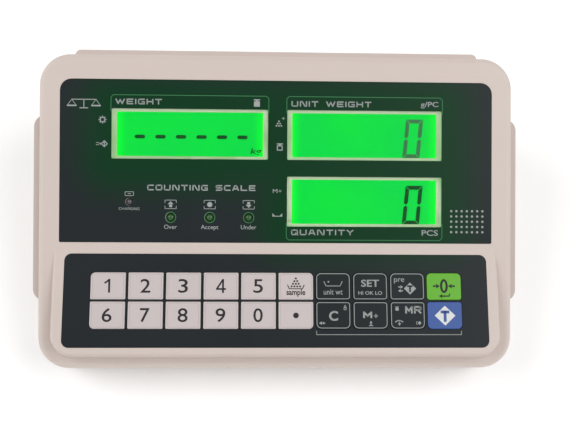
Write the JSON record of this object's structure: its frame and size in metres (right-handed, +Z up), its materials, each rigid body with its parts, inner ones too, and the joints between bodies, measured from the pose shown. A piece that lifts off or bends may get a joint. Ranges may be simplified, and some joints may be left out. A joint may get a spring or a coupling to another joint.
{
  "type": "counting scale indicator",
  "caption": "Desk indicator of a counting scale: sloping three-window green display, wedge keypad with travelling keys, rear housing with sockets and rocker switch.",
  "frame": {"origin": "middle of the footprint, at the underside of the four feet", "axes": "+Z up, -Y towards the user, +X to the right of a user who reads the display"},
  "size_m": [0.2542, 0.163, 0.086],
  "materials": {
    "shell": "fine moulded texture",
    "panel_black": "satin printed sheet",
    "window_clear": "clear",
    "key_white": "satin",
    "key_black": "satin",
    "key_green": "satin",
    "key_blue": "satin",
    "lcd_green": "lit display glass",
    "light_box": "diffuse",
    "lamp_green": "clear tinted",
    "lamp_dark": "clear tinted",
    "circuit_board": "satin",
    "dark_plastic": "satin",
    "ribbon_grey": "satin",
    "battery_case": "satin",
    "zinc_steel": "zinc plated",
    "lead_red": "satin",
    "nickel": "satin nickel",
    "rocker_black": "gloss",
    "brass": "turned",
    "rubber_black": "matt"
  },
  "bodies": {
    "housing": {"front_shell": "shell", "rear_shell": "shell", "display_overlay": "panel_black", "display_windows": "window_clear", "keypad_overlay": "panel_black", "lcd_weight": "lcd_green", "lcd_unit_weight": "lcd_green", "lcd_quantity": "lcd_green", "backlights": "light_box", "status_lamps": "lamp_green", "charging_lamp": "lamp_dark", "display_board": "circuit_board", "keypad_board": "circuit_board", "key_switches": "dark_plastic", "display_ribbon": "ribbon_grey", "keypad_ribbon": "ribbon_grey", "main_board": "circuit_board", "board_parts": "dark_plastic", "buzzer": "dark_plastic", "battery": "battery_case", "battery_strap": "zinc_steel", "battery_leads": "lead_red", "loadcell_socket": "nickel", "loadcell_nut": "nickel", "serial_socket": "nickel", "serial_posts": "nickel", "socket_inserts": "dark_plastic", "power_inlet": "dark_plastic", "power_switch": "dark_plastic", "bracket_inserts": "brass", "feet": "rubber_black", "case_screws": "zinc_steel", "board_screws": "zinc_steel"},
    "key_1": {"key_1": "key_white"},
    "key_2": {"key_2": "key_white"},
    "key_3": {"key_3": "key_white"},
    "key_4": {"key_4": "key_white"},
    "key_5": {"key_5": "key_white"},
    "key_sample": {"key_sample": "key_white"},
    "key_unit_weight": {"key_unit_weight": "key_black"},
    "key_set": {"key_set": "key_black"},
    "key_preset_tare": {"key_preset_tare": "key_black"},
    "key_zero": {"key_zero": "key_green"},
    "key_6": {"key_6": "key_white"},
    "key_7": {"key_7": "key_white"},
    "key_8": {"key_8": "key_white"},
    "key_9": {"key_9": "key_white"},
    "key_0": {"key_0": "key_white"},
    "key_point": {"key_point": "key_white"},
    "key_clear": {"key_clear": "key_black"},
    "key_memory_add": {"key_memory_add": "key_black"},
    "key_memory_recall": {"key_memory_recall": "key_black"},
    "key_tare": {"key_tare": "key_blue"},
    "power_rocker": {"power_rocker": "rocker_black"}
  },
  "joints": [
    {"name": "key_1_press", "type": "slide", "parent": "housing", "child": "key_1", "axis": [0, 0.165, -0.9863], "range_m": [0, 0.0005], "stiffness_N_per_m": 300, "springref_m": -0.001},
    {"name": "key_2_press", "type": "slide", "parent": "housing", "child": "key_2", "axis": [0, 0.165, -0.9863], "range_m": [0, 0.0005], "stiffness_N_per_m": 300, "springref_m": -0.001},
    {"name": "key_3_press", "type": "slide", "parent": "housing", "child": "key_3", "axis": [0, 0.165, -0.9863], "range_m": [0, 0.0005], "stiffness_N_per_m": 300, "springref_m": -0.001},
    {"name": "key_4_press", "type": "slide", "parent": "housing", "child": "key_4", "axis": [0, 0.165, -0.9863], "range_m": [0, 0.0005], "stiffness_N_per_m": 300, "springref_m": -0.001},
    {"name": "key_5_press", "type": "slide", "parent": "housing", "child": "key_5", "axis": [0, 0.165, -0.9863], "range_m": [0, 0.0005], "stiffness_N_per_m": 300, "springref_m": -0.001},
    {"name": "key_sample_press", "type": "slide", "parent": "housing", "child": "key_sample", "axis": [0, 0.165, -0.9863], "range_m": [0, 0.0005], "stiffness_N_per_m": 300, "springref_m": -0.001},
    {"name": "key_unit_weight_press", "type": "slide", "parent": "housing", "child": "key_unit_weight", "axis": [0, 0.165, -0.9863], "range_m": [0, 0.0005], "stiffness_N_per_m": 300, "springref_m": -0.001},
    {"name": "key_set_press", "type": "slide", "parent": "housing", "child": "key_set", "axis": [0, 0.165, -0.9863], "range_m": [0, 0.0005], "stiffness_N_per_m": 300, "springref_m": -0.001},
    {"name": "key_preset_tare_press", "type": "slide", "parent": "housing", "child": "key_preset_tare", "axis": [0, 0.165, -0.9863], "range_m": [0, 0.0005], "stiffness_N_per_m": 300, "springref_m": -0.001},
    {"name": "key_zero_press", "type": "slide", "parent": "housing", "child": "key_zero", "axis": [0, 0.165, -0.9863], "range_m": [0, 0.0005], "stiffness_N_per_m": 300, "springref_m": -0.001},
    {"name": "key_6_press", "type": "slide", "parent": "housing", "child": "key_6", "axis": [0, 0.165, -0.9863], "range_m": [0, 0.0005], "stiffness_N_per_m": 300, "springref_m": -0.001},
    {"name": "key_7_press", "type": "slide", "parent": "housing", "child": "key_7", "axis": [0, 0.165, -0.9863], "range_m": [0, 0.0005], "stiffness_N_per_m": 300, "springref_m": -0.001},
    {"name": "key_8_press", "type": "slide", "parent": "housing", "child": "key_8", "axis": [0, 0.165, -0.9863], "range_m": [0, 0.0005], "stiffness_N_per_m": 300, "springref_m": -0.001},
    {"name": "key_9_press", "type": "slide", "parent": "housing", "child": "key_9", "axis": [0, 0.165, -0.9863], "range_m": [0, 0.0005], "stiffness_N_per_m": 300, "springref_m": -0.001},
    {"name": "key_0_press", "type": "slide", "parent": "housing", "child": "key_0", "axis": [0, 0.165, -0.9863], "range_m": [0, 0.0005], "stiffness_N_per_m": 300, "springref_m": -0.001},
    {"name": "key_point_press", "type": "slide", "parent": "housing", "child": "key_point", "axis": [0, 0.165, -0.9863], "range_m": [0, 0.0005], "stiffness_N_per_m": 300, "springref_m": -0.001},
    {"name": "key_clear_press", "type": "slide", "parent": "housing", "child": "key_clear", "axis": [0, 0.165, -0.9863], "range_m": [0, 0.0005], "stiffness_N_per_m": 300, "springref_m": -0.001},
    {"name": "key_memory_add_press", "type": "slide", "parent": "housing", "child": "key_memory_add", "axis": [0, 0.165, -0.9863], "range_m": [0, 0.0005], "stiffness_N_per_m": 300, "springref_m": -0.001},
    {"name": "key_memory_recall_press", "type": "slide", "parent": "housing", "child": "key_memory_recall", "axis": [0, 0.165, -0.9863], "range_m": [0, 0.0005], "stiffness_N_per_m": 300, "springref_m": -0.001},
    {"name": "key_tare_press", "type": "slide", "parent": "housing", "child": "key_tare", "axis": [0, 0.165, -0.9863], "range_m": [0, 0.0005], "stiffness_N_per_m": 300, "springref_m": -0.001},
    {"name": "power_rocker_tilt", "type": "hinge", "parent": "housing", "child": "power_rocker", "pos_m": [0.036, 0.06952, 0.025], "axis": [1, 0, 0], "range_deg": [0, 20]}
  ]
}
